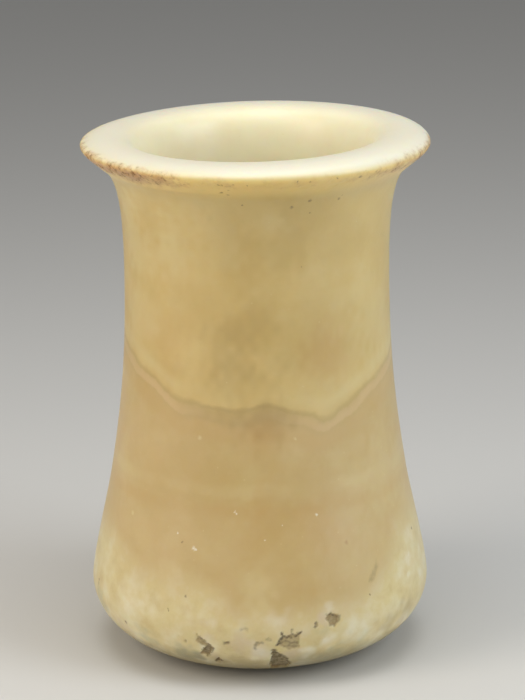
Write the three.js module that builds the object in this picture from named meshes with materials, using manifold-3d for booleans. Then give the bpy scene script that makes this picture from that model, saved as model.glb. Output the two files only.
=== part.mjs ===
// Beaker vase carved from one block of calcite: a low rounded foot, a long waisted body,
// and a lip that rolls outward over a wide mouth. It is hollow and open at the top.
// Units are millimetres, +Z is up, and the origin is the middle of the flat underside.
// Azimuth 0 is the front (-Y), and azimuths grow towards the right (+X).

import * as THREE from 'three';
import { mergeVertices } from 'three/addons/utils/BufferGeometryUtils.js';
import Module from 'manifold-3d';

// Driving dimensions
const height = 150; // mean height of the lip's ridge
const restRadius = 22; // flat underside
const bellyRadius = 48.8; // widest place of the foot
const bellyHeight = 19.4;
const flankRadius = 42.6; // where the flare eases into the long waist
const flankHeight = 51.8;
const flankLean = 9.2; // degrees that the wall leans inward at the flank
const waistRadius = 37.7; // narrowest place of the body
const waistHeight = 112;
const lipRootRadius = 42.7; // where the neck turns into the underside of the lip
const lipRootHeight = 140.9;
const lipRadius = 49.3; // outermost circle of the lip
const lipDrop = 2.8; // from the ridge down to that circle
const ridgeRadius = 41; // highest circle of the lip
const boreRadius = 31; // mouth and neck, inside
const boreBellyRadius = 36; // widest place of the hollow
const boreBellyHeight = 36;
const floorRadius = 16; // flat of the inner floor
const floorThickness = 11;
const mouthTilt = 0.7; // the ridge rises this much at the right and falls as much at the left
const facets = 72;

const degrees = Math.PI / 180;

// A stretch of the profile: it leaves one (radius, height) point along a heading and arrives at
// the next along another. Headings are in degrees above the outward horizontal, and a handle is
// the distance that the curve keeps to its heading.
function stretch(from, fromHeading, fromHandle, to, toHeading, toHandle, steps) {
  const start = new THREE.Vector2(...from);
  const end = new THREE.Vector2(...to);
  const along = (heading, length) => (
    new THREE.Vector2(Math.cos(heading * degrees), Math.sin(heading * degrees)).multiplyScalar(length)
  );
  const curve = new THREE.CubicBezierCurve(
    start,
    start.clone().add(along(fromHeading, fromHandle)),
    end.clone().sub(along(toHeading, toHandle)),
    end,
  );
  return curve.getPoints(steps).slice(1);
}

// Profile of the wall, from the middle of the underside up the outside, over the lip and down
// the inside to the middle of the inner floor
function wallProfile() {
  const underside = [restRadius, 0];
  const belly = [bellyRadius, bellyHeight];
  const flank = [flankRadius, flankHeight];
  const waist = [waistRadius, waistHeight];
  const lipRoot = [lipRootRadius, lipRootHeight];
  const lipNose = [lipRadius, height - lipDrop];
  const ridge = [ridgeRadius, height];
  const throat = [boreRadius, height - 26];
  const boreBelly = [boreBellyRadius, boreBellyHeight];
  const innerFloor = [floorRadius, floorThickness];
  return [
    new THREE.Vector2(0, 0),
    new THREE.Vector2(...underside),
    ...stretch(underside, 0, 16.5, belly, 90, 10.3, 9),
    ...stretch(belly, 90, 5.2, flank, 90 + flankLean, 7.9, 5),
    ...stretch(flank, 90 + flankLean, 20.8, waist, 90, 25.2, 6),
    ...stretch(waist, 90, 14.6, lipRoot, 43, 5.5, 7),
    ...stretch(lipRoot, 43, 3.0, lipNose, 90, 1.3, 6),
    ...stretch(lipNose, 90, 1.6, ridge, 180, 5.0, 7),
    ...stretch(ridge, 180, 8.5, throat, 270, 23.3, 7),
    ...stretch(throat, 270, 40, boreBelly, 270, 25, 5),
    ...stretch(boreBelly, 270, 14, innerFloor, 180, 10, 6),
    new THREE.Vector2(0, floorThickness),
  ];
}

// How much of the mouth's tilt a point takes: all of it on the ridge, fading to none at the
// lip's outermost circle and inside the throat
function tiltShare(radius, z) {
  const fadeEnd = radius > ridgeRadius ? height - lipDrop : height - 14;
  return THREE.MathUtils.smoothstep(z, fadeEnd, height);
}

// Closed surface with merged corners and without the slivers that meet on the axis
function closed(geometry) {
  const merged = geometry.clone();
  merged.deleteAttribute('normal');
  merged.deleteAttribute('uv');
  const welded = mergeVertices(merged, 1e-4);
  const corners = welded.index.array;
  const kept = [];
  for (let i = 0; i < corners.length; i += 3) {
    const [a, b, c] = corners.slice(i, i + 3);
    if (a !== b && b !== c && c !== a) kept.push(a, b, c);
  }
  welded.setIndex(kept);
  return welded;
}

// The whole vessel before any damage
function turnedVessel() {
  const geometry = new THREE.LatheGeometry(wallProfile(), facets);
  geometry.rotateX(Math.PI / 2);
  const position = geometry.attributes.position;
  for (let i = 0; i < position.count; i += 1) {
    const x = position.getX(i);
    const z = position.getZ(i);
    const radius = Math.hypot(x, position.getY(i));
    position.setZ(i, z + mouthTilt * (x / ridgeRadius) * tiltShare(radius, z));
  }
  return closed(geometry);
}

// Pits in the foot where crystals fell out, from left to right. Each is placed by its azimuth,
// its height, the wall's radius there and how far the wall leans under, in degrees. Its corners
// are (right, up) distances along the wall from that place.
const pitDepth = 0.9;
const pitReach = 3; // the cutting shape goes on this far outside the wall
const pits = [
  { azimuth: -20, z: 14.7, radius: 48.1, lean: 17,
    corners: [[-1.3, 2.4], [2.7, -1.1], [1.5, -2.4], [-0.7, -1.4], [-1.9, 0.4]] },
  { azimuth: -18.6, z: 11.8, radius: 46.8, lean: 29,
    corners: [[-0.7, 1.0], [1.2, 2.2], [2.0, 1.0], [-0.2, -2.6], [-2.3, -2.0]] },
  { azimuth: 7.1, z: 7.8, radius: 43.8, lean: 44,
    corners: [[-2.4, 5.9], [1.5, 2.0], [3.0, -2.3], [3.0, -5.0], [-2.2, -5.0], [-3.0, -0.1]] },
  { azimuth: 9.2, z: 15, radius: 48.2, lean: 17,
    corners: [[-1.5, 2.1], [3.1, 2.9], [3.1, -2.3], [0.7, -2.8], [-2.8, -1.0], [-2.4, 0.8]] },
  { azimuth: 24.3, z: 20.5, radius: 48.7, lean: 0,
    corners: [[-1.2, 1.7], [2.3, 0.7], [1.9, -1.0], [0.5, -2.5], [-1.4, -1.2], [-1.8, 0.5]] },
];

function pit({ azimuth, z, radius, lean, corners }) {
  const outline = new THREE.Shape(corners.map(([right, up]) => new THREE.Vector2(right, up)));
  const geometry = new THREE.ExtrudeGeometry(outline, {
    depth: pitDepth + pitReach,
    bevelEnabled: false,
  });
  geometry.translate(0, 0, -pitDepth);
  const placed = new THREE.Object3D();
  placed.rotation.set((90 + lean) * degrees, 0, azimuth * degrees, 'ZYX');
  placed.position.set(
    radius * Math.sin(azimuth * degrees),
    -radius * Math.cos(azimuth * degrees),
    z,
  );
  placed.updateMatrix();
  geometry.applyMatrix4(placed.matrix);
  return closed(geometry);
}

// Solid for cutting, and back to a geometry
const wasm = await Module();
wasm.setup();

function solid(geometry) {
  const vertProperties = new Float32Array(geometry.attributes.position.array);
  const triVerts = new Uint32Array(geometry.index.array);
  return new wasm.Manifold(new wasm.Mesh({ numProp: 3, vertProperties, triVerts }));
}

function surface(manifold) {
  const { vertProperties, triVerts } = manifold.getMesh();
  const geometry = new THREE.BufferGeometry();
  geometry.setAttribute('position', new THREE.BufferAttribute(vertProperties, 3));
  geometry.setIndex(new THREE.BufferAttribute(triVerts, 1));
  geometry.computeVertexNormals();
  return geometry;
}

const vesselSolid = pits.reduce(
  (vessel, place) => vessel.subtract(solid(pit(place))),
  solid(turnedVessel()),
);

const calcite = new THREE.MeshStandardMaterial({ color: 0xd8c596, roughness: 0.42, metalness: 0 });
const vase = new THREE.Mesh(surface(vesselSolid), calcite);
vase.name = 'vase';

const group = new THREE.Group();
group.add(vase);

export default group;
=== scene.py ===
"""Dresses a calcite beaker vase: one turned and hollowed stone, honey-coloured and banded, with a
pale mottled foot, crystal pits, and dirt in the worn edge of its lip."""
import math

import bpy
import numpy as np
from bpy.props import FloatProperty, FloatVectorProperty, PointerProperty
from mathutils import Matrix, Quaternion, Vector


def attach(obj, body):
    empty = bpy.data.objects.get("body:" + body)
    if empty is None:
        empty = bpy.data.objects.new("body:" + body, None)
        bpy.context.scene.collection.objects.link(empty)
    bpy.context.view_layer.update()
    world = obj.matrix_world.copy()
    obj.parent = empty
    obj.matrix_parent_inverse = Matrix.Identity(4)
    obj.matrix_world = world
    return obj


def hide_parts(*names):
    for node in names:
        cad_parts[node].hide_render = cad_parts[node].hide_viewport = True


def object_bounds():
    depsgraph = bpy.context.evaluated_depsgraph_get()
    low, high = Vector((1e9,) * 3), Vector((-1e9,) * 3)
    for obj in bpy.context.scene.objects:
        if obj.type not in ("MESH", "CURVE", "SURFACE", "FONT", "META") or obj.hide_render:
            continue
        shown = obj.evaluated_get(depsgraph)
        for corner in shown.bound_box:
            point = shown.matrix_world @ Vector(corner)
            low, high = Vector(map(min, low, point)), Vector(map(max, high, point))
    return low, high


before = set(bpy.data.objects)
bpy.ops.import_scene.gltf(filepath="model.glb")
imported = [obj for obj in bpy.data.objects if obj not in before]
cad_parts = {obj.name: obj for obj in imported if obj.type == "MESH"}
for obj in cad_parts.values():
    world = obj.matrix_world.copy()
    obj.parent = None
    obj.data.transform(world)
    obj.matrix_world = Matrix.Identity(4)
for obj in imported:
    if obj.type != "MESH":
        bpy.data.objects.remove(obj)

CAD_LOW, CAD_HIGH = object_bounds()
MM = 0.001
MOUTH_TILT = 0.7 * MM

bl_info = {
    "name": "Calcite Beaker Vase",
    "version": (1, 0, 0),
    "blender": (4, 5, 0),
    "location": "View3D > Sidebar > Vase",
    "description": "Carves a beaker vase of banded calcite and sets it in a soft studio",
    "category": "Add Mesh",
}


def linear(code):
    """Turns an sRGB hex colour such as C5AC78 into linear red, green and blue."""
    channels = np.array([int(code[i:i + 2], 16) for i in (0, 2, 4)]) / 255
    low, high = channels / 12.92, ((channels + 0.055) / 1.055) ** 2.4
    return tuple(float(c) for c in np.where(channels <= 0.04045, low, high))


def length(name, description, default):
    """A size in metres that a user may change."""
    return FloatProperty(name=name, description=description, default=default,
                         min=0.0, precision=5, unit="LENGTH")


def colour(name, description, code):
    """A colour that a user may change, from its sRGB hex code."""
    return FloatVectorProperty(name=name, description=description, default=linear(code),
                               subtype="COLOR", size=3, min=0.0, max=1.0)


class VaseSizes(bpy.types.PropertyGroup):
    """Driving sizes of the vessel's profile."""
    mouth_tilt: length("Mouth tilt", "Rise of the lip's ridge at the right, fall at the left", MOUTH_TILT)
    height: length("Height", "Mean height of the lip's ridge", CAD_HIGH.z - MOUTH_TILT)
    rest_radius: length("Rest radius", "Flat underside", 22 * MM)
    belly_radius: length("Belly radius", "Widest place of the foot", 48.8 * MM)
    belly_height: length("Belly height", "Height of the foot's widest place", 19.4 * MM)
    flank_radius: length("Flank radius", "Where the flare eases into the waist", 42.6 * MM)
    flank_height: length("Flank height", "Height of the flank", 51.8 * MM)
    flank_lean: FloatProperty(name="Flank lean", description="How far the wall leans in at the flank",
                              default=math.radians(9.2), subtype="ANGLE")
    waist_radius: length("Waist radius", "Narrowest place of the body", 37.7 * MM)
    waist_height: length("Waist height", "Height of the waist", 112 * MM)
    lip_root_radius: length("Lip root radius", "Where the neck turns into the lip", 42.7 * MM)
    lip_root_height: length("Lip root height", "Height of the lip's root", 140.9 * MM)
    lip_radius: length("Lip radius", "Outermost circle of the lip", CAD_HIGH.x)
    lip_drop: length("Lip drop", "From the ridge down to the outermost circle", 2.8 * MM)
    ridge_radius: length("Ridge radius", "Highest circle of the lip", 41 * MM)
    tilt_depth: length("Tilt depth", "How far down inside the mouth its tilt fades", 14 * MM)
    bore_radius: length("Bore radius", "Inside of the neck", 31 * MM)
    throat_drop: length("Throat drop", "From the ridge down to the narrowest of the bore", 26 * MM)
    bore_belly_radius: length("Hollow radius", "Widest place of the hollow", 36 * MM)
    bore_belly_height: length("Hollow height", "Height of the hollow's widest place", 36 * MM)
    floor_radius: length("Floor radius", "Flat of the inner floor", 16 * MM)
    floor_thickness: length("Floor thickness", "Stone under the hollow", 11 * MM)
    pit_depth: length("Pit depth", "Depth of the deep crystal pits", 0.9 * MM)
    pit_side: length("Pit side", "How far a pit's broken side slopes in", 0.4 * MM)
    wear_depth: length("Wear depth", "Deepest wear of the lip's edge", 0.3 * MM)
    tool_height: length("Tool line height", "Height of the turning line under the lip", 142.2 * MM)
    tool_rise: length("Tool line rise", "How far that line stands out", 0.35 * MM)
    unevenness: length("Unevenness", "Middling departure from a true turned wall", 0.03 * MM)
    grain: length("Grain", "Mesh spacing over the pits; elsewhere a multiple of it", 0.36 * MM)


class VaseFinish(bpy.types.PropertyGroup):
    """Colours of the stone and of what has settled in it, with some colours of painted light and shade."""
    honey: colour("Honey", "Stone above the vein", "D9C080")
    amber: colour("Amber", "Warmer stone below the vein", "D0B681")
    olive: colour("Olive", "Denser clouds in the honey", "C3A765")
    ochre: colour("Ochre", "Orange-brown clouds", "C79E5E")
    cream: colour("Cream", "Pale mottled stone of the foot", "E5D9A6")
    frost: colour("Frost", "Grey-green crystal patches low on the foot", "B4B292")
    vein: colour("Vein", "Grey-brown line across the body", "9C8252")
    blush: colour("Blush", "Pinkish layer under the vein", "DDC192")
    rosy: colour("Rosy", "Pinkish crystal patches round the pits", "D6C3A2")
    milk: colour("Milk", "Whitish stone of the lip", "F2EEDC")
    # Painted light: the stone inside the mouth is the same; this paler colour stands for light that fills the
    # mouth through its thin walls
    mouth: colour("Mouth", "Pale green-yellow wall inside the mouth", "F2ECCC")
    rust: colour("Rust", "Pinkish-brown stain round the lip's edge", "BC9466")
    soil: colour("Soil", "Brown dirt in the lip's worn edge and the pits", "7C5B36")
    grime_and_shade: colour("Grime", "Dark dirt in the cracks round the pits", "4E3A1A")
    # Partly painted shade: besides dirt in cracks, this dark colour lines the pits' upper edges, where their
    # overhanging walls cast shade
    pit: colour("Pit floor", "Bare crystal in the shallow pits", "A38E60")
    hollow: colour("Deep pit floor", "Dirty crystal in the deepest pits", "6F6241")
    # Painted shade: the foot is coloured darker towards the bottom, where it turns under away from the light
    painted_low_shade: colour("Standing dirt", "Grey-brown bloom low on the foot", "77694A")
    # Painted light: a brighter colour under the lip that stands for light coming through the thin stone of
    # the rim
    painted_glow: colour("Glow", "Thin bright stone under the lip", "F8E197")
    chalk: colour("Chalk", "Small white flecks", "F4EEDC")


class StudioSettings(bpy.types.PropertyGroup):
    """Camera and lights."""
    pitch: FloatProperty(name="Pitch", description="Camera's angle below the horizon",
                         default=math.radians(16.2), subtype="ANGLE")
    roll: FloatProperty(name="Roll", description="Camera's turn about its own line of sight",
                        default=math.radians(-0.62), subtype="ANGLE")
    distance: length("Distance", "From the camera to the vessel's axis", 860.4 * MM)
    aim_height: length("Aim height", "Height that the camera looks at", 86.1 * MM)
    aim_side: length("Aim side", "How far right of the axis the camera looks", 1.4 * MM)
    lens: FloatProperty(name="Lens", description="Focal length on a 36 mm sensor",
                        default=154.3, unit="CAMERA")
    side_power: FloatProperty(name="Side power", description="Power of each side softbox",
                              default=2.1, min=0.0, unit="POWER")
    top_power: FloatProperty(name="Top power", description="Power of the overhead softbox",
                             default=1.9, min=0.0, unit="POWER")
    air_light: FloatProperty(name="Air light", description="Even light from all round",
                             default=0.2, min=0.0)
    floor: colour("Floor", "Plain pale floor", "D9D8D4")
    floor_size: length("Floor size", "Side of the square floor", 12.0)


# Crystal pits in the foot, from left to right: depth as a share of the pit depth, and corners
# clockwise, as azimuths in degrees and heights in mm
PITS = (
    (0.25, ((-28.9, 16.2), (-27.9, 16.0), (-28.1, 15.2), (-29.0, 15.3))),
    (0.3, ((-26.7, 14.2), (-25.8, 14.6), (-25.4, 13.7), (-26.6, 13.3))),
    (0.45, ((-21.5, 17.0), (-16.7, 13.7), (-18.2, 12.5), (-20.9, 13.4), (-22.3, 15.1))),
    (0.8, ((-19.4, 12.7), (-17.2, 13.8), (-16.2, 12.7), (-18.8, 9.6), (-21.5, 10.1))),
    (0.5, ((-16.8, 8.2), (-15.1, 9.2), (-14.4, 8.1), (-15.5, 6.8), (-16.9, 7.0))),
    (0.35, ((-12.2, 15.0), (-11.5, 15.5), (-10.6, 15.1), (-11.4, 14.4))),
    (0.2, ((-2.1, 15.2), (0.5, 15.5), (-0.6, 14.2), (-1.9, 13.1))),
    (1.1, ((4.2, 12.7), (6.6, 11.0), (9.0, 9.3), (11.2, 6.3), (11.4, 3.4), (4.1, 3.4), (3.2, 7.8))),
    (0.33, ((7.4, 17.1), (12.8, 17.9), (13.0, 12.9), (10.0, 12.4), (5.8, 14.1), (6.4, 15.8))),
    (0.3, ((17.7, 19.8), (18.3, 20.6), (19.2, 20.1), (19.0, 18.9), (18.1, 18.9))),
    (0.55, ((22.8, 22.2), (23.9, 22.4), (27.0, 21.2), (26.5, 19.5), (24.9, 18.0), (22.7, 19.3),
            (22.2, 21.0))),
)

# Dark lines in and round the pits, partly dirt in cracks and partly painted shade along the pits' upper
# edges, under their overhanging walls: strength, half width in mm, and the places that each runs through, as
# azimuths in degrees and heights in mm
DARK_LINES = (
    (0.9, 0.34, ((5.8, 14.5), (6.6, 15.9), (7.5, 17.1), (9.0, 16.5), (10.4, 17.1), (12.0, 17.1),
                 (13.0, 18.1))),
    (0.85, 0.22, ((7.6, 17.0), (6.8, 18.4))),
    (0.8, 0.22, ((10.4, 17.1), (10.3, 19.1))),
    (0.5, 0.32, ((6.8, 14.9), (8.4, 15.5), (9.8, 14.7), (12.5, 14.7))),
    (0.4, 0.28, ((7.8, 13.8), (12.3, 13.5))),
    (0.95, 0.4, ((4.2, 12.6), (6.3, 11.0), (8.6, 9.5), (10.8, 6.6), (10.6, 5.1))),
    (0.6, 0.5, ((4.5, 12.0), (4.7, 9.6), (3.8, 6.7))),
    (0.6, 0.4, ((6.7, 10.3), (8.4, 8.4), (9.8, 6.2))),
    (0.85, 0.34, ((-19.8, 11.7), (-18.8, 12.8), (-17.4, 13.6), (-16.4, 12.7), (-17.5, 11.2), (-19.0, 9.7))),
    (0.5, 0.3, ((-20.2, 11.1), (-18.3, 12.1), (-17.3, 11.8))),
    (0.7, 0.3, ((-20.6, 16.1), (-20.0, 15.4))),
    (0.35, 0.4, ((-19.6, 14.6), (-18.3, 13.5))),
    (0.8, 0.34, ((22.9, 22.0), (23.9, 22.2), (25.1, 21.3), (26.9, 21.2))),
    (0.45, 0.3, ((26.8, 21.1), (26.5, 19.7))),
    (0.8, 0.42, ((-16.5, 7.4), (-15.4, 8.3), (-14.8, 7.9))),
    (0.85, 0.26, ((18.6, 20.2), (18.8, 19.5), (18.3, 19.2))),
    (0.45, 0.36, ((-2.1, 13.3), (-1.9, 14.7), (-1.2, 15.2), (0.5, 15.3))),
    (0.3, 0.32, ((1.9, 16.4), (2.8, 16.5), (3.6, 16.0))),
    (0.28, 0.32, ((-6.4, 19.5), (-5.2, 19.8), (-4.4, 19.5))),
    (0.55, 0.4, ((-12.1, 15.0), (-10.9, 15.1))),
    (0.26, 0.5, ((44.6, 32.2), (43.7, 31.5), (42.7, 30.0), (41.2, 28.8))),
)

# Top of the pale foot, round the vessel: azimuth in degrees and height in mm
FOOT_TOP = (
    (-180, 30), (-150, 35), (-120, 28), (-90, 38), (-74, 40), (-60, 36), (-48, 32), (-31, 32.5),
    (-21, 33), (-15, 28), (-8, 24), (-1, 26), (6, 23.5), (17, 22), (26, 24), (38, 26), (50, 34),
    (62, 42), (80, 44), (110, 31), (140, 36), (180, 30),
)

# Soft clouds in the stone, and crystal patches and dirt in its foot, with a few spots of painted shade and
# highlight among them, by colour: azimuth in degrees, height and radius in mm, and strength
CLOUDS = {
    "ochre": (
        (-43.0, 97.0, 9.0, 0.25), (2.0, 72.5, 4.5, 0.45), (12.0, 44.0, 12.0, 0.22),
        (29.0, 94.0, 8.0, 0.35), (140.0, 110.0, 12.0, 0.4), (175.0, 75.0, 8.0, 0.4),
    ),
    # The olive clouds at azimuth 0 and 3.6 degrees, 126 and 98 mm up, are partly a real olive patch and
    # partly painted shade that darkens the middle of the body's front, between the side lights
    "olive": (
        (-150.0, 60.0, 11.0, 0.4), (-24.0, 86.0, 8.0, 0.3), (-12.5, 14.0, 1.8, 0.3),
        (-9.3, 12.0, 2.0, 0.5), (-5.0, 7.0, 5.0, 0.4), (0.0, 126.0, 11.0, 0.4),
        (3.6, 98.0, 10.0, 0.45), (95.0, 45.0, 9.0, 0.3),
    ),
    "cream": (
        (-110.0, 120.0, 9.0, 0.25), (-58.0, 122.0, 13.0, 0.35), (-58.0, 105.0, 10.0, 0.25),
        (-22.0, 130.0, 9.0, 0.2), (-0.7, 30.5, 5.5, 0.25), (58.0, 58.0, 11.0, 0.2),
        (60.0, 100.0, 12.0, 0.2),
    ),
    "vein": (
        (-8.0, 91.0, 11.0, 0.2), (3.0, 76.0, 7.0, 0.3), (9.0, 79.3, 3.0, 0.35),
    ),
    "frost": (
        (-140.0, 12.0, 5.0, 0.5), (-70.0, 15.0, 5.0, 0.5), (-42.0, 10.5, 4.0, 0.4),
        (-29.0, 8.0, 3.6, 0.6), (-23.3, 8.7, 2.2, 0.8), (17.0, 9.0, 3.0, 0.35),
        (20.6, 17.0, 2.6, 0.4), (27.0, 8.5, 4.0, 0.5), (38.0, 9.0, 3.5, 0.35),
        (125.0, 14.0, 5.0, 0.5),
    ),
    "rosy": (
        (-57.0, 13.0, 3.0, 0.5), (-17.8, 21.0, 2.4, 0.5), (-17.6, 16.2, 1.8, 0.4),
        (-16.8, 10.0, 2.6, 0.7), (-6.9, 13.9, 2.8, 0.45), (0.2, 12.0, 2.6, 0.45),
        (10.8, 11.2, 2.4, 0.6), (21.0, 20.3, 1.8, 1.0), (170.0, 17.0, 4.0, 0.5),
    ),
    "milk": (
        (-62.0, 15.0, 3.0, 0.25), (-54.0, 21.0, 6.0, 0.2), (-38.0, 23.5, 4.0, 0.16),
        (-25.0, 22.0, 3.5, 0.25), (-16.8, 20.8, 1.6, 0.3), (0.4, 12.4, 2.0, 0.35),
        (6.4, 21.5, 3.5, 0.25), (17.0, 12.0, 2.2, 0.55), (22.0, 14.3, 2.8, 0.6),
        # Painted highlight: the three small milk spots at azimuth 62.2 to 65 degrees, 25.5 to 31 mm up, make
        # a narrow bright streak on the right of the foot
        (24.0, 23.8, 1.8, 0.3), (33.0, 15.5, 3.5, 0.25), (62.2, 25.5, 1.3, 0.8),
        (63.5, 28.2, 1.4, 0.9), (65.0, 31.0, 1.3, 0.8), (66.0, 27.0, 5.0, 0.3),
    ),
    "soil": (
        (-22.5, 8.6, 1.5, 0.35), (-14.0, 8.3, 1.6, 0.35), (7.2, 3.6, 2.2, 0.8),
        # Painted shade: the two soil clouds at azimuth 49 and 61 degrees, low on the right of the foot,
        # darken it where it turns under away from the light
        (49.0, 14.0, 4.5, 0.2), (61.0, 16.5, 4.5, 0.22),
    ),
}

# Small marks on the wall, in the order that they are laid: colour, strength, and each mark's
# azimuth in degrees, height in mm and radius in mm
MARKS = (
    ("cream", 0.45, (
        (-55.0, 46.0, 0.5), (-24.0, 71.7, 0.6), (14.8, 71.6, 0.45), (130.0, 90.0, 0.6),
    )),
    ("rust", 0.7, (
        (-140.0, 40.0, 0.8), (32.8, 40.9, 0.6), (100.0, 66.0, 0.7),
    )),
    ("soil", 0.68, (
        (-150.0, 84.0, 0.4), (-72.9, 20.9, 0.4), (-72.7, 21.9, 0.4), (-52.8, 14.5, 0.5),
        (-32.2, 22.6, 0.3), (-28.9, 41.9, 0.35), (-25.7, 27.5, 0.35), (-11.9, 142.8, 0.4),
        (-11.8, 145.6, 0.35), (-10.6, 145.7, 0.3), (-9.6, 142.0, 0.3), (-8.8, 143.6, 0.3),
        (-7.0, 145.9, 0.3), (-4.9, 138.4, 0.3), (-2.9, 145.6, 0.25), (13.5, 146.2, 0.25),
        (14.0, 137.5, 0.42), (17.4, 146.0, 0.3), (19.1, 119.9, 0.25), (20.9, 139.1, 0.45),
        (21.6, 135.4, 0.25), (26.6, 146.3, 0.3), (33.4, 138.6, 0.4), (34.4, 139.5, 0.3),
        (35.9, 145.6, 0.5), (39.6, 24.9, 0.3), (72.4, 36.2, 0.5), (118.0, 126.0, 0.35),
        (160.0, 32.0, 0.5),
    )),
    ("chalk", 0.8, (
        (-100.0, 90.0, 0.3), (-31.0, 44.3, 0.3), (-24.4, 40.9, 0.42), (-23.8, 40.4, 0.42),
        (-9.1, 51.8, 0.3), (-8.5, 51.3, 0.3), (2.3, 44.3, 0.22), (8.7, 48.0, 0.2),
        (21.7, 50.1, 0.38), (170.0, 50.0, 0.4),
    )),
)

# Strength of the stain on the lip's edge, round the vessel: azimuth in degrees and share
LIP_STAIN = (
    (-180, 0.3), (-130, 0.5), (-100, 0.7), (-85, 1.0), (-45, 1.0), (-32, 0.55), (-20, 0.22), (0, 0.12),
    (30, 0.16), (50, 0.35), (62, 0.6), (75, 0.8), (90, 0.7), (120, 0.35), (180, 0.3),
)

# Strength of the pale beds over and under the vein, which is fainter there, round the vessel:
# azimuth in degrees and share
VEIN_PALE = (
    (-180, 0.4), (-110, 0.7), (-75, 0.7), (-55, 1.0), (-38, 1.0), (-30, 0.4), (-21, 0.1), (-11, 0.0),
    (-3, 0.05), (5, 0.15), (14, 0.5), (24, 0.85), (35, 1.0), (62, 1.0), (110, 0.6), (150, 0.3), (180, 0.4),
)

# The grey vein's plane: its height in mm on the axis, and its rise for each mm to the right and to
# the back. It swells and sags at places in mm right of the axis, by a rise and over a width in mm.
VEIN_HEIGHT = 92.2
VEIN_RISE = (-0.058, 0.331)
VEIN_SWELLS = ((4.1, 2.3, 6.2), (6.0, -0.75, 4.5), (20.7, -3.6, 7.7), (-23.0, -2.2, 4.1))

# Waves that make the turned wall slightly uneven: how many go round it, phase in radians, and the
# climb in mm over which the phase grows by one radian, or falls where the climb is negative
UNEVEN_WAVES = ((3, 0.7, 31), (5, -1.1, -17), (2, 2.0, 12))

# Faint turning line under the lip: azimuth of its middle, and how far it runs, in degrees
TOOL_AZIMUTH = -38
TOOL_SPAN = 22

# Noises that the stone's pattern is made from: name, how many mm across its features are, detail
# and roughness. They give clouds in the stone, patches where a bed fades, mottle, blots of dirt,
# and grains of crystal and dirt.
NOISES = (
    ("clouds", 30, 3, 0.5), ("patches", 13, 3, 0.5), ("mottle", 7, 4, 0.55), ("blots", 3.6, 5, 0.68),
    ("grains", 1.3, 4, 0.65),
)

# Values that the mesh carries at its points
CARRIED = ("bed", "pale", "pit", "crack", "stain", "inner", "foot", *(tint + "_cloud" for tint in CLOUDS))


def smooth(x, low, high):
    """Goes from 0 at low to 1 at high, level at both ends."""
    t = np.clip((x - low) / (high - low), 0, 1)
    return t * t * (3 - 2 * t)


def stretch(start, start_heading, start_handle, end, end_heading, end_handle, count=160):
    """A cubic Bezier from one (radius, height) point along a heading to the next. Headings are
    in degrees above the outward horizontal; a handle is how far the curve keeps its heading."""
    def along(heading, distance):
        return distance * np.array([math.cos(math.radians(heading)), math.sin(math.radians(heading))])

    p0, p3 = np.array(start), np.array(end)
    p1, p2 = p0 + along(start_heading, start_handle), p3 - along(end_heading, end_handle)
    t = np.linspace(0, 1, count)[1:, None]
    return (1 - t) ** 3 * p0 + 3 * (1 - t) ** 2 * t * p1 + 3 * (1 - t) * t * t * p2 + t ** 3 * p3


def wall_profile(s):
    """(radius, height) points from the middle of the underside, up the outside, over the lip and
    down the inside to the middle of the inner floor."""
    underside = (s.rest_radius, 0.0)
    belly = (s.belly_radius, s.belly_height)
    flank = (s.flank_radius, s.flank_height)
    waist = (s.waist_radius, s.waist_height)
    lip_root = (s.lip_root_radius, s.lip_root_height)
    lip_nose = (s.lip_radius, s.height - s.lip_drop)
    ridge = (s.ridge_radius, s.height)
    throat = (s.bore_radius, s.height - s.throat_drop)
    bore_belly = (s.bore_belly_radius, s.bore_belly_height)
    inner_floor = (s.floor_radius, s.floor_thickness)
    leaning = 90 + math.degrees(s.flank_lean)
    return np.vstack([
        np.linspace((0.0, 0.0), underside, 20),
        stretch(underside, 0, 16.5 * MM, belly, 90, 10.3 * MM),
        stretch(belly, 90, 5.2 * MM, flank, leaning, 7.9 * MM),
        stretch(flank, leaning, 20.8 * MM, waist, 90, 25.2 * MM),
        stretch(waist, 90, 14.6 * MM, lip_root, 43, 5.5 * MM),
        stretch(lip_root, 43, 3.0 * MM, lip_nose, 90, 1.3 * MM),
        stretch(lip_nose, 90, 1.6 * MM, ridge, 180, 5.0 * MM),
        stretch(ridge, 180, 8.5 * MM, throat, 270, 23.3 * MM),
        stretch(throat, 270, 40 * MM, bore_belly, 270, 25 * MM),
        stretch(bore_belly, 270, 14 * MM, inner_floor, 180, 10 * MM),
        np.linspace(inner_floor, (0.0, s.floor_thickness), 20)[1:],
    ])


def even_steps(where, spacing):
    """Places along a line so that neighbours are as far apart as the spacing given there: the
    running total of 1 / spacing is cut into equal parts."""
    total = np.concatenate([[0], np.cumsum(np.diff(where) * 2 / (spacing[1:] + spacing[:-1]))])
    return np.interp(np.linspace(0, total[-1], int(round(total[-1])) + 1), total, where)


def inside_corners(right, up, corners):
    """How far inside a straight-sided outline each (right, up) place is: the distance to the
    nearest of its sides, negative outside. Corners run clockwise."""
    side = np.roll(corners, -1, axis=0) - corners
    inward = np.stack([side[:, 1], -side[:, 0]], axis=1) / np.linalg.norm(side, axis=1)[:, None]
    return np.min([(right - c[0]) * n[0] + (up - c[1]) * n[1] for c, n in zip(corners, inward)], axis=0)


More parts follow.
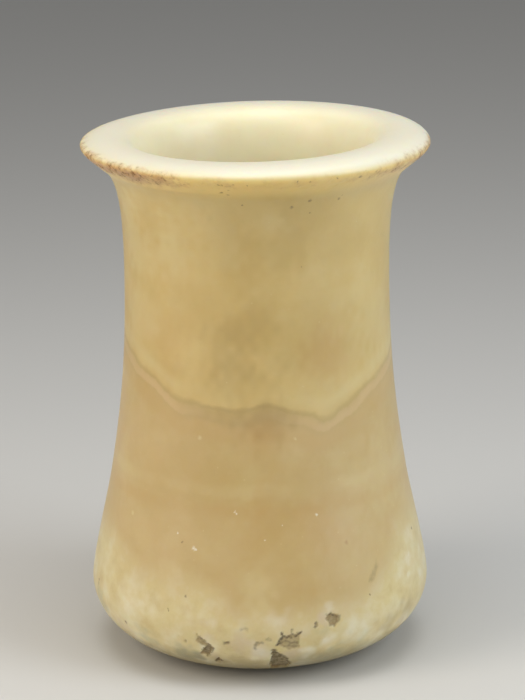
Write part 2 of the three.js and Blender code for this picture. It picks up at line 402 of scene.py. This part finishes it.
def crack_shares(points):
    """How much each point belongs to a dark line, partly dirt in cracks and partly painted shade along the
    pits' upper edges: in full on the line through its places, and fading to nothing at twice its half width,
    where the edge is ragged."""
    spread = np.zeros(points.shape[:-1])
    ragged = 0.4 * plane_waves(points, wavelength=1.1 * MM, waves=24, seed=13)
    for strength, half_width, places in DARK_LINES:
        corner = wall_places(*np.transpose(places))
        for start, end in zip(corner[:-1], corner[1:]):
            way = end - start
            t = np.clip((points / MM - start) @ way / (way @ way), 0, 1)
            away = np.linalg.norm(points / MM - start - t[..., None] * way, axis=-1) / half_width + ragged
            spread = np.maximum(spread, strength * smooth(away, 2.0, 0.6))
    return spread


def plane_waves(points, wavelength, waves, seed):
    """Blotches with no grain or direction: the sum of equal sine waves that run different ways
    through space, each with its own phase, scaled so that most values lie between -1 and 1."""
    draw = np.random.default_rng(seed)
    ways = draw.normal(size=(waves, 3))
    ways *= 2 * math.pi / wavelength / np.linalg.norm(ways, axis=1)[:, None]
    phases = draw.uniform(0, 2 * math.pi, waves)
    return np.sin(points @ ways.T + phases).sum(-1) / math.sqrt(waves / 2)


def vessel_surface(s):
    """The wall as a grid whose rows run along the profile and whose columns run round the axis,
    both closer together over the pits. Returns the points and, by name, values at each point: how
    deep it is in a pit, how stained the lip's edge is, how far inside the mouth it is, and its
    depth in mm below the foot's top.

    A point is the profile turned by its azimuth and pushed in along the wall's normal, by the
    vessel's slight unevenness (a sum of sines round and up it), by the wear of the lip's edge and
    by the pits, whose floors are stepped in slanting ledges, and out by a faint turning ridge
    under the lip. The lip's ridge is raised at the right and lowered at the left in proportion
    to x."""
    profile = wall_profile(s)
    run = np.concatenate([[0], np.cumsum(np.hypot(*np.diff(profile, axis=0).T))])
    top = int(np.argmax(profile[:, 1]))
    rest = int(np.argmax(profile[:, 0] >= s.rest_radius))

    def run_at(height):
        """How far along the profile the outside wall reaches this height."""
        return np.interp(height, profile[rest:top, 1], run[rest:top])

    # Rows along the profile: places, and how many grains apart the rows are there
    rows_at = np.concatenate([
        [0],
        run_at(np.array([0, 2, 4, 24, 34, 60, 120, 140, 145]) * MM),
        run[top] + np.array([0, 14, 40]) * MM,
        run[-1:],
    ])
    rows_apart = np.array([9, 5, 2, 1, 1, 4, 8, 7, 2.4, 1.3, 2.2, 3.5, 10, 14]) * s.grain
    along = even_steps(run, np.interp(run, rows_at, rows_apart))
    radius = np.interp(along, run, profile[:, 0])[:, None]
    height = np.interp(along, run, profile[:, 1])[:, None]
    slope = np.stack([np.gradient(profile[:, 0], run), np.gradient(profile[:, 1], run)])
    slope = slope / np.hypot(*slope)
    outward = np.interp(along, run, slope[1])[:, None]
    upward = -np.interp(along, run, slope[0])[:, None]

    # Columns round the axis: azimuths, and how far apart the columns are there
    columns_at = np.radians([-180, -60, -33, -23, 28, 60, 180])
    columns_apart = np.array([3.6, 2.6, 1.4, 1, 1, 2.6, 3.6]) * s.grain / s.belly_radius
    turn = np.linspace(-math.pi, math.pi, 2000)
    azimuth = even_steps(turn, np.interp(turn, columns_at, columns_apart))[None, :-1]
    degrees = np.degrees(azimuth) + 0 * height
    turned = np.stack([radius * np.sin(azimuth), -radius * np.cos(azimuth), height + 0 * azimuth], axis=-1)

    depth = np.zeros(degrees.shape)
    outside = along <= run[top]
    ragged = 0.14 * MM * plane_waves(turned, wavelength=1.5 * MM, waves=24, seed=11)
    for share, corners in PITS:
        turns, heights = np.transpose(corners)
        middle, low = math.radians(turns.mean()), run_at(heights.mean() * MM)
        wall_radius = np.interp(heights * MM, profile[rest:top, 1], profile[rest:top, 0])
        corners = np.stack([wall_radius * (np.radians(turns) - middle), run_at(heights * MM) - low], axis=1)
        right, up = radius * (azimuth - middle), (along - low)[:, None] + 0 * azimuth
        inside = inside_corners(right, up, corners) + ragged + 0.1 * MM
        inside[~outside] = -1
        ledges = 0.88 + 0.12 * np.sin((right + 1.4 * up) / (0.28 * MM))
        depth = np.maximum(depth, share * smooth(inside, 0, s.pit_side) * ledges)

    uneven = sum(
        np.sin(count * azimuth + phase + height / (climb * MM)) for count, phase, climb in UNEVEN_WAVES
    )
    lip_edge = run_at(s.height - s.lip_drop - 1.6 * MM)
    edge = np.exp(-((along - lip_edge) / (3.4 * MM)) ** 2)[:, None]
    stain = edge * np.interp(degrees, *np.transpose(LIP_STAIN))
    blotches = plane_waves(turned, wavelength=3.4 * MM, waves=24, seed=7)
    worn = edge * smooth(blotches, 0.55, 1.6) * (0.3 + 0.7 * stain)
    along_tool = (degrees - TOOL_AZIMUTH) / TOOL_SPAN
    tool_line = np.exp(-((height - s.tool_height) / (0.8 * MM)) ** 2 - along_tool ** 2)
    tool_line[~outside] = 0
    taper = smooth(radius, 0, s.rest_radius)
    push = taper * s.unevenness * (3 - uneven) / 2 + s.wear_depth * worn
    push = push + s.pit_depth * depth - s.tool_rise * tool_line

    r, z = radius - outward * push, height - upward * push
    x, y = r * np.sin(azimuth), -r * np.cos(azimuth)
    fade = np.where(outside[:, None], smooth(z, s.height - s.lip_drop, s.height),
                    smooth(z, s.height - s.tilt_depth, s.height))
    z = z + s.mouth_tilt * fade * x / s.ridge_radius
    return np.stack([x, y, z], axis=-1), {
        "pit": depth,
        "stain": stain,
        "inner": smooth(along, run[top] - 3 * MM, run[top] + 9 * MM)[:, None] + 0 * azimuth,
        "foot": np.where(outside[:, None], np.interp(degrees, *np.transpose(FOOT_TOP)) - z / MM, -40),
    }


def vein_shares(points):
    """Height in mm above the grey vein, and strength of the pale beds beside it. The vein is a
    bed in the stone: a plane that dips to the front and a little to the right, with a swell and a
    hollow near the middle, two sags beside them, a rise towards both sides and a slight waver."""
    x, y, z = (points[..., i] / MM for i in range(3))
    bed = VEIN_HEIGHT + VEIN_RISE[0] * x + VEIN_RISE[1] * y + 0.9 * smooth(np.abs(x), 17, 25)
    for centre, rise, width in VEIN_SWELLS:
        bed = bed + rise * np.exp(-((x - centre) / width) ** 2)
    bed = bed + 0.25 * plane_waves(points, wavelength=9 * MM, waves=24, seed=17)
    pale = np.interp(np.degrees(np.arctan2(x, -y)), *np.transpose(VEIN_PALE))
    return {"bed": z - bed, "pale": pale}


def wall_places(azimuth, height):
    """Places in mm on the outside wall, from azimuths in degrees and heights in mm."""
    profile = wall_profile(bpy.context.scene.vase_sizes) / MM
    top = int(np.argmax(profile[:, 1]))
    radius = np.interp(height, profile[:top, 1], profile[:top, 0])
    turn = np.radians(azimuth)
    return np.stack([radius * np.sin(turn), -radius * np.cos(turn), height + 0 * turn], axis=-1)


def cloud_shares(points):
    """How strongly the clouds of each colour cover each point: in full at a cloud's middle, and
    fading to nothing at about one and a half times its radius, where the edge wavers."""
    drift = 0.3 * plane_waves(points, wavelength=16 * MM, waves=24, seed=3)
    drift = drift + 0.2 * plane_waves(points, wavelength=3.5 * MM, waves=24, seed=5)
    shares = {}
    for tint, clouds in CLOUDS.items():
        share = 0.0
        for azimuth, height, size, strength in clouds:
            reach = np.linalg.norm(points / MM - wall_places(azimuth, height), axis=-1) / size + drift
            share = np.maximum(share, strength * smooth(reach, 1.5, 0.2))
        shares[tint + "_cloud"] = share
    return shares


def lathe_mesh(name, points, **shares):
    """A closed mesh from a grid that is closed round its columns. The first and last rows lie on
    the axis, so each becomes one pole. Shares are stored as point attributes."""
    rows, columns = points.shape[:2]
    ring = points[1:-1].reshape(-1, 3)
    vertices = np.vstack([points[0].mean(0), ring, points[-1].mean(0)])
    here = 1 + np.arange(columns)
    beside = 1 + (np.arange(columns) + 1) % columns
    up = columns * np.arange(rows - 3)[:, None]
    quads = np.stack([here + up, beside + up, beside + up + columns, here + up + columns], axis=-1)
    quads = quads.reshape(-1, 4)
    last = columns * (rows - 3)
    low_fan = np.stack([np.zeros(columns, int), beside, here], axis=1)
    high_fan = np.stack([here + last, beside + last, np.full(columns, len(vertices) - 1)], axis=1)
    triangles = np.vstack([low_fan, high_fan])

    mesh = bpy.data.meshes.new(name)
    mesh.vertices.add(len(vertices))
    mesh.vertices.foreach_set("co", vertices.astype(np.float32).ravel())
    mesh.loops.add(quads.size + triangles.size)
    corners = np.concatenate([quads.ravel(), triangles.ravel()])
    mesh.loops.foreach_set("vertex_index", corners.astype(np.int32))
    mesh.polygons.add(len(quads) + len(triangles))
    starts = np.concatenate([4 * np.arange(len(quads)), quads.size + 3 * np.arange(len(triangles))])
    mesh.polygons.foreach_set("loop_start", starts.astype(np.int32))
    mesh.update(calc_edges=True)
    mesh.validate()
    mesh.polygons.foreach_set("use_smooth", np.ones(len(mesh.polygons), bool))
    for label, share in shares.items():
        values = np.concatenate([[share[0].mean()], share[1:-1].ravel(), [share[-1].mean()]])
        mesh.attributes.new(label, "FLOAT", "POINT").data.foreach_set("value", values.astype(np.float32))
    return mesh


def node(tree, kind, inputs=None, **settings):
    """Adds a node of this kind with these settings. Each input takes a value or another socket."""
    made = tree.nodes.new(kind)
    for name, value in settings.items():
        setattr(made, name, value)
    for socket, value in (inputs or {}).items():
        if isinstance(value, bpy.types.NodeSocket):
            tree.links.new(value, made.inputs[socket])
        else:
            made.inputs[socket].default_value = value
    return made


def stone_sources(tree):
    """What the stone's layers are worked out from: places in mm, the noises, and the values that
    the mesh carries."""
    place = node(tree, "ShaderNodeTexCoord").outputs["Object"]
    in_mm = node(tree, "ShaderNodeVectorMath", {0: place, "Scale": 1000.0}, operation="SCALE").outputs[0]
    source = {"in_mm": in_mm, "z": node(tree, "ShaderNodeSeparateXYZ", {0: in_mm}).outputs["Z"]}
    for name, size, detail, roughness in NOISES:
        grain = {"Vector": in_mm, "Scale": 1 / size, "Detail": detail, "Roughness": roughness}
        source[name] = node(tree, "ShaderNodeTexNoise", grain).outputs["Fac"]
    for name in CARRIED:
        source[name] = node(tree, "ShaderNodeAttribute", attribute_name=name).outputs["Fac"]
    return source


def body_layers(tree, f, source):
    """Amber below the vein, unevenness in olive and cream, and the placed clouds. Each noise has
    the values at which its colour starts and is full, the strength then, and how it fades in."""
    below = node(tree, "ShaderNodeMapRange", {0: source["bed"], 1: 2.0, 2: -5.0},
                 interpolation_type="SMOOTHSTEP").outputs[0]
    layers = [(below, f.amber)]
    for noise, start, full, strength, fade, tint in (
        ("clouds", 0.42, 0.66, 0.5, "LINEAR", f.olive),
        ("mottle", 0.48, 0.75, 0.1, "LINEAR", f.cream),
        ("patches", 0.45, 0.7, 0.14, "SMOOTHSTEP", f.cream),
        ("blots", 0.5, 0.8, 0.14, "LINEAR", f.olive),
    ):
        share = node(tree, "ShaderNodeMapRange", {0: source[noise], 1: start, 2: full, 4: strength},
                     interpolation_type=fade).outputs[0]
        layers.append((share, tint))
    for tint in ("ochre", "olive", "cream", "vein"):
        layers.append((source[tint + "_cloud"], getattr(f, tint)))
    return layers


def bed_layers(tree, f, source):
    """Beds: warm, greyish and pinkish ones under the vein, a pale one over it, the vein itself,
    and a level pair low on the body. Each has the height that it is measured on, its middle and
    half its thickness in mm, how soft its edges are, its colour, its strength, and what fades it."""
    wavering = source["bed"]
    for noise, waver in (("blots", 0.8), ("mottle", 1.2)):
        flutter = node(tree, "ShaderNodeMapRange", {0: source[noise], 3: -waver, 4: waver}).outputs[0]
        wavering = node(tree, "ShaderNodeMath", {0: wavering, 1: flutter}, operation="ADD").outputs[0]
    level = node(tree, "ShaderNodeMath", {0: source["mottle"], 1: 4.0, 2: source["z"]},
                 operation="MULTIPLY_ADD").outputs[0]
    patches, pale = source["patches"], source["pale"]
    patchy = node(tree, "ShaderNodeMapRange", {0: patches, 1: 0.34, 2: 0.55, 3: 0.3}).outputs[0]
    dense = node(tree, "ShaderNodeMapRange", {0: patches, 1: 0.35, 2: 0.58, 3: 0.65, 4: 1.1}).outputs[0]
    crisp = node(tree, "ShaderNodeMapRange", {0: pale, 3: 1.1, 4: 0.4}).outputs[0]
    layers = []
    for height, middle, half, soft, tint, strength, fading in (
        (wavering, -6.5, 2.6, 3.0, f.ochre, 0.16, dense),
        (wavering, -2.4, 1.9, 2.6, f.vein, 0.2, crisp),
        (wavering, -2.1, 1.35, 0.8, f.blush, 0.45, pale),
        (wavering, 3.4, 1.9, 3.6, f.cream, 0.26, pale),
        (wavering, -0.5, 1.0, 1.8, f.vein, 0.16, dense),
        (wavering, 0.0, 0.6, 1.1, f.vein, 0.2, crisp),
        (level, 59.4, 1.6, 2.6, f.cream, 0.19, patchy),
        (level, 53.6, 1.6, 2.6, f.ochre, 0.22, patchy),
    ):
        away = node(tree, "ShaderNodeMath", {0: height, 1: middle}, operation="SUBTRACT").outputs[0]
        away = node(tree, "ShaderNodeMath", {0: away}, operation="ABSOLUTE").outputs[0]
        outer, core = half + soft / 2, half - soft / 2
        share = node(tree, "ShaderNodeMapRange", {0: away, 1: outer, 2: core, 4: strength},
                     interpolation_type="SMOOTHSTEP").outputs[0]
        share = node(tree, "ShaderNodeMath", {0: share, 1: fading}, operation="MULTIPLY").outputs[0]
        layers.append((share, tint))
    return layers


def foot_layers(tree, f, source):
    """The pale foot with its ragged, soft upper edge, chalky and greyish in places; frosty, rosy and milky
    crystal patches in it, with a painted highlight streak among the milky ones; and painted shade, grey-brown
    and darker towards the bottom."""
    mottle, blots = source["mottle"], source["blots"]
    ragged = source["foot"]
    for noise, reach in (("patches", -16.0), ("mottle", -8.0)):
        ragged = node(tree, "ShaderNodeMath", {0: source[noise], 1: reach, 2: ragged},
                      operation="MULTIPLY_ADD").outputs[0]
    footed = node(tree, "ShaderNodeMapRange", {0: ragged, 1: -17.0, 2: -3.0},
                  interpolation_type="SMOOTHSTEP").outputs[0]
    chalky = node(tree, "ShaderNodeMapRange", {0: mottle, 1: 0.48, 2: 0.68, 4: 0.4}).outputs[0]
    greyish = node(tree, "ShaderNodeMapRange", {0: mottle, 1: 0.46, 2: 0.3, 4: 0.35}).outputs[0]
    layers = []
    for strength, tint in ((0.68, f.cream), (chalky, f.milk), (greyish, f.olive)):
        share = node(tree, "ShaderNodeMath", {0: footed, 1: strength}, operation="MULTIPLY").outputs[0]
        layers.append((share, tint))
    uneven = node(tree, "ShaderNodeMapRange", {0: blots, 1: 0.36, 2: 0.56, 3: 0.5, 4: 1.2}).outputs[0]
    for tint in ("frost", "rosy", "milk"):
        share = node(tree, "ShaderNodeMath", {0: source[tint + "_cloud"], 1: uneven},
                     operation="MULTIPLY").outputs[0]
        layers.append((share, getattr(f, tint)))
    # Painted shade: grey-brown, darker towards the bottom of the foot, below about 15 mm
    darkening = node(tree, "ShaderNodeMath", {0: mottle, 1: 7.0, 2: source["z"]},
                 operation="MULTIPLY_ADD").outputs[0]
    darkening = node(tree, "ShaderNodeMapRange", {0: darkening, 1: 15.5, 2: 8.5, 4: 0.55},
                 interpolation_type="SMOOTHSTEP").outputs[0]
    layers.append((darkening, f.painted_low_shade))
    return layers


def lip_layers(tree, f, source):
    """The whitish lip on its upward-facing top, partly painted light from above; painted light under the lip,
    a brighter colour for light through the thin rim; and the mouth, paler as painted light for the light that
    fills it, a little clouded.
    """
    # Painted light: from 139 to 144 mm up, the colour under the lip is brightened for light that comes
    # through the thin rim
    under = node(tree, "ShaderNodeMapRange", {0: source["z"], 1: 139.0, 2: 144.0, 4: 0.5},
                 interpolation_type="SMOOTHSTEP").outputs[0]
    # Partly painted light: the whitish lip is kept to its upward-facing top, above 146.6 mm, so that the top
    # reads lighter as lit from above; the stone there is also whitish
    lip = node(tree, "ShaderNodeMapRange", {0: source["z"], 1: 146.6, 2: 149.2, 4: 0.9},
               interpolation_type="SMOOTHSTEP").outputs[0]
    clouded = node(tree, "ShaderNodeMapRange", {0: source["patches"], 1: 0.4, 2: 0.65, 4: 0.13}).outputs[0]
    clouded = node(tree, "ShaderNodeMath", {0: clouded, 1: source["inner"]}, operation="MULTIPLY").outputs[0]
    # Painted light: the mouth's paler colour, laid by the inner share
    return [(under, f.painted_glow), (lip, f.milk), (source["inner"], f.mouth), (clouded, f.honey)]


def mark_layers(tree, f, source):
    """Small marks, each a ragged soft dot round its place, and flecks under half a millimetre,
    where a 4 mm cell's middle happens to lie in the surface."""
    in_mm = source["in_mm"]
    shake = node(tree, "ShaderNodeTexNoise", {"Vector": in_mm, "Scale": 1 / 1.6, "Detail": 3.0})
    shake = node(tree, "ShaderNodeVectorMath", {0: shake.outputs["Color"], 1: (0.5, 0.5, 0.5)},
                 operation="SUBTRACT").outputs[0]
    shaken = node(tree, "ShaderNodeVectorMath", {0: shake, 1: (1.7, 1.7, 1.7), 2: in_mm},
                  operation="MULTIPLY_ADD").outputs[0]
    layers = []
    for tint, strength, marks in MARKS:
        spread = 0.0
        for azimuth, height, size in marks:
            reach = node(tree, "ShaderNodeVectorMath", {0: shaken, 1: wall_places(azimuth, height)},
                         operation="DISTANCE").outputs["Value"]
            outer, core = size * 1.5, size * 0.5
            dot = node(tree, "ShaderNodeMapRange", {0: reach, 1: outer, 2: core, 4: strength}).outputs[0]
            spread = node(tree, "ShaderNodeMath", {0: dot, 1: spread}, operation="MAXIMUM").outputs[0]
        layers.append((spread, getattr(f, tint)))
    reach = node(tree, "ShaderNodeTexVoronoi", {"Vector": in_mm, "Scale": 1 / 4.0}).outputs["Distance"]
    flecks = node(tree, "ShaderNodeMapRange", {0: reach, 1: 0.06, 2: 0.025, 4: 0.4}).outputs[0]
    layers.append((flecks, f.cream))
    return layers


def stain_layers(tree, f, source):
    """The stain round the lip's edge: a pinkish-brown tint in blots, and grains of dirt in it.
    Also gives the share of dirt."""
    tinted = node(tree, "ShaderNodeMath", {0: source["stain"], 1: 0.45, 2: source["blots"]},
                  operation="MULTIPLY_ADD").outputs[0]
    tinted = node(tree, "ShaderNodeMapRange", {0: tinted, 1: 0.54, 2: 0.88, 4: 0.85}).outputs[0]
    edge = node(tree, "ShaderNodeMapRange", {0: source["stain"], 1: 0.04, 2: 0.3}).outputs[0]
    tinted = node(tree, "ShaderNodeMath", {0: tinted, 1: edge}, operation="MULTIPLY").outputs[0]
    dirt = node(tree, "ShaderNodeMapRange", {0: source["grains"], 1: 0.52, 2: 0.62}).outputs[0]
    dirt = node(tree, "ShaderNodeMath", {0: dirt, 1: tinted}, operation="MULTIPLY").outputs[0]
    return [(tinted, f.rust), (dirt, f.soil)], dirt


def pit_layers(tree, f, source):
    """Bare crystal in the pits, dirtier where they are deep; the soil clouds, dirt in and round the pits,
    with two spots of painted shade low at the right of the foot; and dark lines, dirt in cracks and, along
    the pits' upper edges, partly painted shade. Also gives the share of bare crystal."""
    pit, grains = source["pit"], source["grains"]
    bare = node(tree, "ShaderNodeMapRange", {0: pit, 1: 0.04, 2: 0.45, 4: 0.95}).outputs[0]
    deep = node(tree, "ShaderNodeMath", {0: source["mottle"], 1: 0.5, 2: pit},
                operation="MULTIPLY_ADD").outputs[0]
    deep = node(tree, "ShaderNodeMapRange", {0: deep, 1: 0.85, 2: 1.1, 4: 0.9}).outputs[0]
    streaks = node(tree, "ShaderNodeMapRange", {0: grains, 1: 0.42, 2: 0.6, 4: 0.35}).outputs[0]
    streaks = node(tree, "ShaderNodeMath", {0: streaks, 1: bare}, operation="MULTIPLY").outputs[0]
    # Dark lines: dirt in cracks, and painted shade along the pits' upper edges
    broken = node(tree, "ShaderNodeMapRange", {0: grains, 1: 0.34, 2: 0.52, 3: 0.5}).outputs[0]
    broken = node(tree, "ShaderNodeMath", {0: broken, 1: source["crack"]}, operation="MULTIPLY").outputs[0]
    return [
        (bare, f.pit), (deep, f.hollow), (streaks, f.rosy), (source["soil_cloud"], f.soil), (broken, f.grime_and_shade),
    ], bare


def polished_calcite(f):
    """Travertine calcite, turned and rubbed to a soft polish: translucent, so light goes a few
    millimetres in and comes out honey-coloured, with clouds, beds and one grey vein in it. It is
    duller where it is dirty or broken, and not quite even."""
    material = bpy.data.materials.new("polished_banded_calcite")
    material.use_nodes = True
    tree = material.node_tree
    source = stone_sources(tree)
    stain, dirt = stain_layers(tree, f, source)
    pits, bare = pit_layers(tree, f, source)

    # Layers of colour over the honey, from the first to be laid to the last
    stone = (*f.honey, 1)
    for share, tint in [
        *body_layers(tree, f, source), *bed_layers(tree, f, source), *foot_layers(tree, f, source),
        *lip_layers(tree, f, source), *mark_layers(tree, f, source), *stain, *pits,
    ]:
        mixed = node(tree, "ShaderNodeMix", {0: share, 6: stone, 7: (*tint, 1)}, data_type="RGBA")
        stone = mixed.outputs[2]
    dull = node(tree, "ShaderNodeMath", {0: bare, 1: dirt}, operation="MAXIMUM").outputs[0]
    rough = node(tree, "ShaderNodeMapRange", {0: dull, 3: 0.36, 4: 0.75}).outputs[0]
    relief = node(tree, "ShaderNodeMath", {0: source["mottle"], 1: 3.0, 2: source["grains"]},
                  operation="MULTIPLY_ADD").outputs[0]
    bump = node(tree, "ShaderNodeBump", {"Height": relief, "Strength": 0.4, "Distance": 0.1 * MM}).outputs[0]

    shader = tree.nodes["Principled BSDF"]
    tree.links.new(stone, shader.inputs["Base Color"])
    tree.links.new(rough, shader.inputs["Roughness"])
    tree.links.new(bump, shader.inputs["Normal"])
    shader.inputs["IOR"].default_value = 1.55
    shader.inputs["Subsurface Weight"].default_value = 0.65
    shader.inputs["Subsurface Radius"].default_value = (1.0, 0.72, 0.4)
    shader.inputs["Subsurface Scale"].default_value = 7 * MM
    return material


class VASE_OT_vessel(bpy.types.Operator):
    """Carve the vessel and give it its stone"""
    bl_idname = "vase.vessel"
    bl_label = "Carve Vessel"

    def execute(self, context):
        points, shares = vessel_surface(context.scene.vase_sizes)
        mesh = lathe_mesh("calcite_vase", points, crack=crack_shares(points), **shares,
                          **vein_shares(points), **cloud_shares(points))
        mesh.materials.append(polished_calcite(context.scene.vase_finish))
        vessel = bpy.data.objects.new("calcite_vase", mesh)
        context.scene.collection.objects.link(vessel)
        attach(vessel, "root")
        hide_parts("vase")
        return {"FINISHED"}


class VASE_OT_stage(bpy.types.Operator):
    """Set the pale floor, the soft lights and the camera"""
    bl_idname = "vase.stage"
    bl_label = "Set Stage"

    def execute(self, context):
        studio = context.scene.vase_studio
        lay_floor(context.scene, studio)
        hang_lights(context.scene, studio)
        place_camera(context.scene, studio)
        return {"FINISHED"}


def lay_floor(scene, studio):
    """A square of matt paper, just under the vessel."""
    half = studio.floor_size / 2
    corners = [(-half, -half, 0), (half, -half, 0), (half, half, 0), (-half, half, 0)]
    mesh = bpy.data.meshes.new("studio_floor")
    mesh.from_pydata([Vector(c) - Vector((0, 0, 0.2 * MM)) for c in corners], [], [(0, 1, 2, 3)])
    material = bpy.data.materials.new("matt_studio_paper")
    material.use_nodes = True
    shader = material.node_tree.nodes["Principled BSDF"]
    shader.inputs["Base Color"].default_value = (*studio.floor, 1)
    shader.inputs["Roughness"].default_value = 0.9
    mesh.materials.append(material)
    floor = bpy.data.objects.new("studio_floor", mesh)
    scene.collection.objects.link(floor)


def hang_lights(scene, studio):
    """One broad softbox at each side and one overhead, each aimed at the middle of the vessel.
    Their places and sizes are in metres."""
    middle = Vector((0, 0, studio.aim_height))
    for name, place, size, power, tint in (
        ("softbox_left", (-0.51, -0.28, 0.36), (0.30, 0.56), studio.side_power, "FFF6EA"),
        ("softbox_right", (0.51, -0.27, 0.36), (0.30, 0.56), studio.side_power, "F0F7FF"),
        ("softbox_above", (0.0, -0.09, 0.66), (0.50, 0.50), studio.top_power, "FFFFFF"),
    ):
        light = bpy.data.lights.new(name, "AREA")
        light.shape = "RECTANGLE"
        light.size, light.size_y = size
        light.energy = power
        light.color = linear(tint)
        lamp = bpy.data.objects.new(name, light)
        lamp.location = place
        lamp.rotation_euler = (middle - Vector(place)).to_track_quat("-Z", "Y").to_euler()
        scene.collection.objects.link(lamp)
    world = bpy.data.worlds.new("studio_air")
    world.use_nodes = True
    air = world.node_tree.nodes["Background"]
    air.inputs["Color"].default_value = (1, 1, 1, 1)
    air.inputs["Strength"].default_value = studio.air_light
    scene.world = world
    scene.view_settings.view_transform = "Standard"


def place_camera(scene, studio):
    """The camera looks down by the pitch, at a point beside the axis, and is rolled a little."""
    lens = bpy.data.cameras.new("studio_camera")
    lens.lens = studio.lens
    lens.sensor_width = 36
    camera = bpy.data.objects.new("studio_camera", lens)
    back = Vector((0, -math.cos(studio.pitch), math.sin(studio.pitch)))
    camera.location = Vector((studio.aim_side, 0, studio.aim_height)) + back * studio.distance
    camera.rotation_mode = "QUATERNION"
    level = Quaternion((1, 0, 0), math.pi / 2 - studio.pitch)
    camera.rotation_quaternion = level @ Quaternion((0, 0, 1), studio.roll)
    scene.collection.objects.link(camera)
    scene.camera = camera


class VIEW3D_PT_vase(bpy.types.Panel):
    """Lists the vessel's and the stage's operators and settings"""
    bl_idname = "VIEW3D_PT_vase"
    bl_label = "Calcite Vase"
    bl_space_type = "VIEW_3D"
    bl_region_type = "UI"
    bl_category = "Vase"

    def draw(self, context):
        for operator in (VASE_OT_vessel, VASE_OT_stage):
            self.layout.operator(operator.bl_idname)
        for settings in (context.scene.vase_sizes, context.scene.vase_finish, context.scene.vase_studio):
            box = self.layout.box()
            for name in settings.bl_rna.properties.keys():
                if name not in {"rna_type", "name"}:
                    box.prop(settings, name)


CLASSES = (VaseSizes, VaseFinish, StudioSettings, VASE_OT_vessel, VASE_OT_stage, VIEW3D_PT_vase)


def register():
    for item in CLASSES:
        bpy.utils.register_class(item)
    bpy.types.Scene.vase_sizes = PointerProperty(type=VaseSizes)
    bpy.types.Scene.vase_finish = PointerProperty(type=VaseFinish)
    bpy.types.Scene.vase_studio = PointerProperty(type=StudioSettings)


def unregister():
    del bpy.types.Scene.vase_studio
    del bpy.types.Scene.vase_finish
    del bpy.types.Scene.vase_sizes
    for item in reversed(CLASSES):
        bpy.utils.unregister_class(item)


def main():
    register()
    bpy.ops.vase.vessel()
    bpy.ops.vase.stage()


if __name__ == "__main__":
    main()
